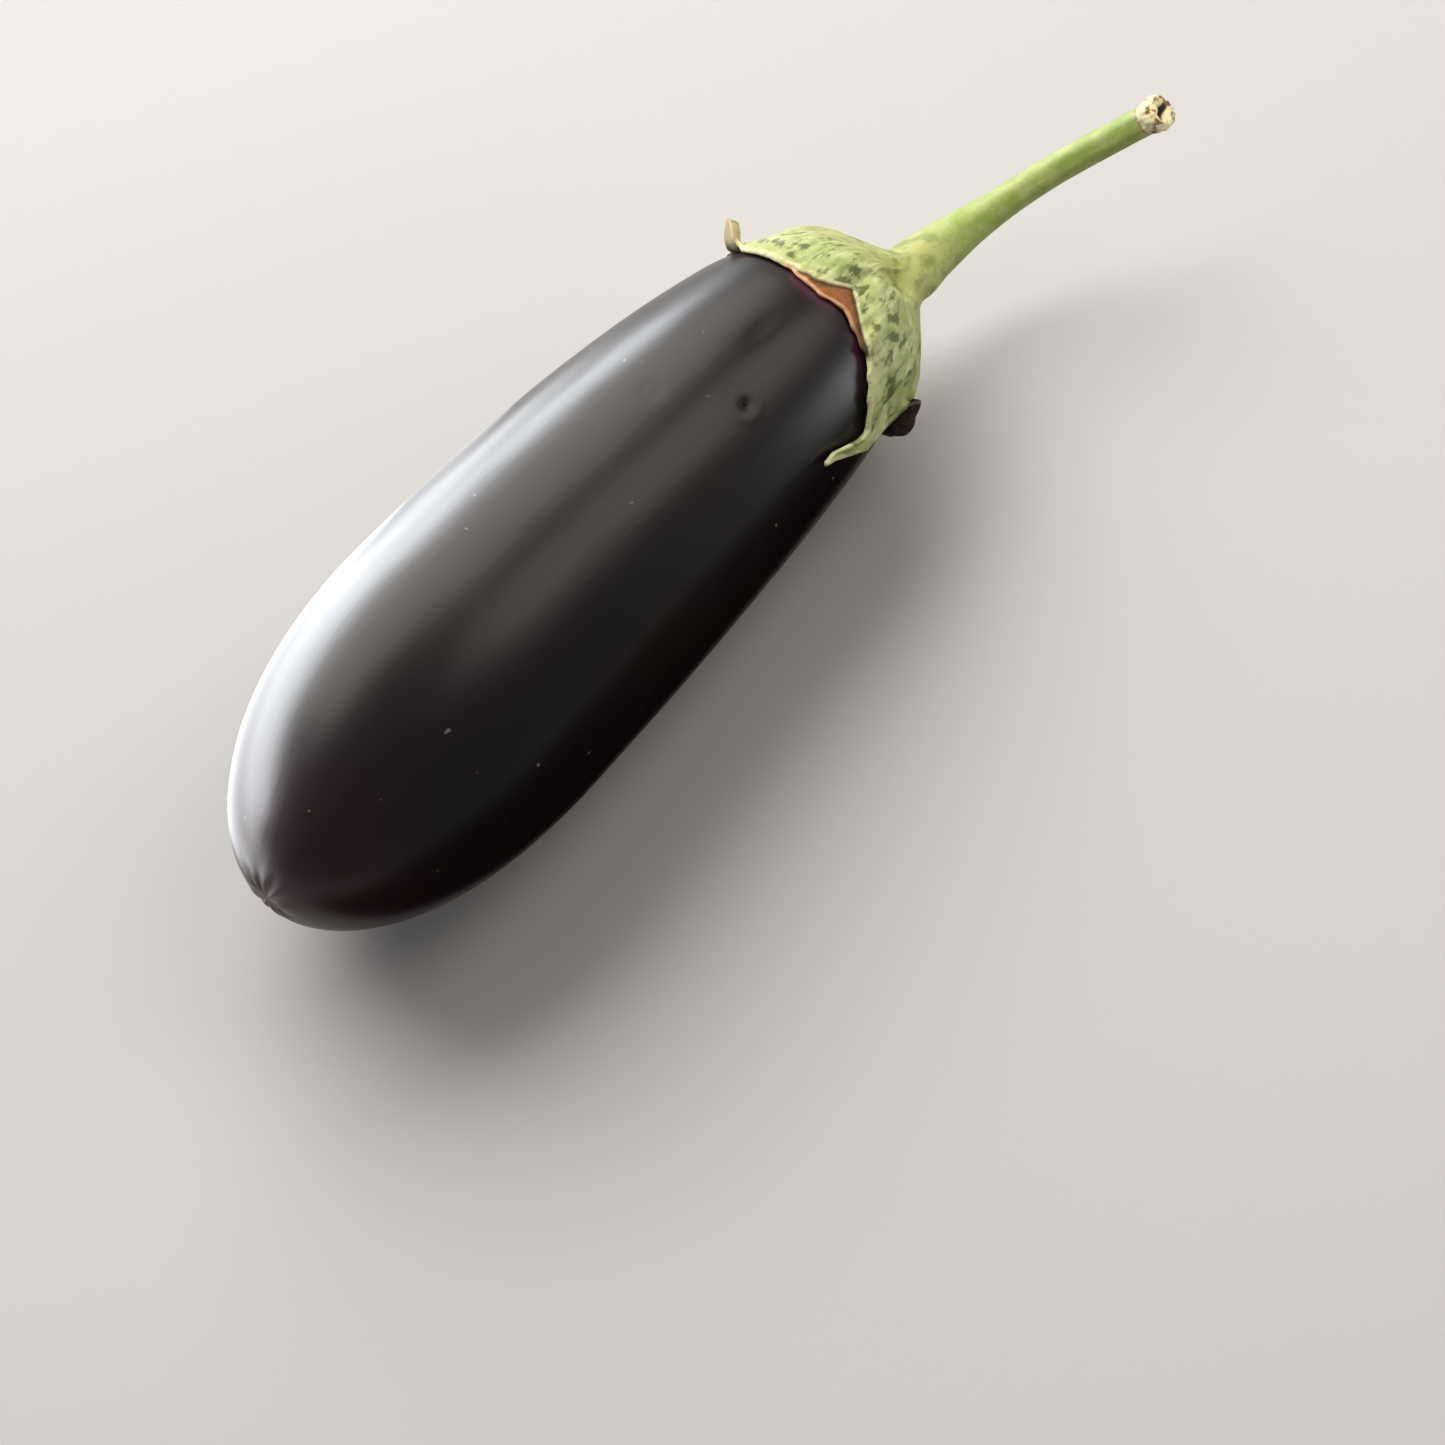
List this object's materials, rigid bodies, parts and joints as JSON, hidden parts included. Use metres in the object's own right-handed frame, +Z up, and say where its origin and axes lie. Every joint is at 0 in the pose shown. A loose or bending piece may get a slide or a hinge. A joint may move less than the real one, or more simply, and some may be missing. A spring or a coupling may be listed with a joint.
{
  "type": "eggplant",
  "caption": "Long plump dark purple eggplant lying on its side, with a lobed green calyx cap and a curved cut stem.",
  "frame": {"origin": "centre of the bounding box in X and Y, at the height of the surface that the fruit lies on", "axes": "+X along the fruit from its blossom end to its stem, +Z up, +Y to the left of +X"},
  "size_m": [0.2492, 0.066, 0.0648],
  "materials": {
    "skin": "smooth waxy skin, satin gloss, near-black purple",
    "calyx": "matte, finely downy, yellow-green with darker flecks and dry brown edges"
  },
  "bodies": {
    "root": {"fruit": "skin", "calyx_and_stem": "calyx"}
  },
  "joints": []
}
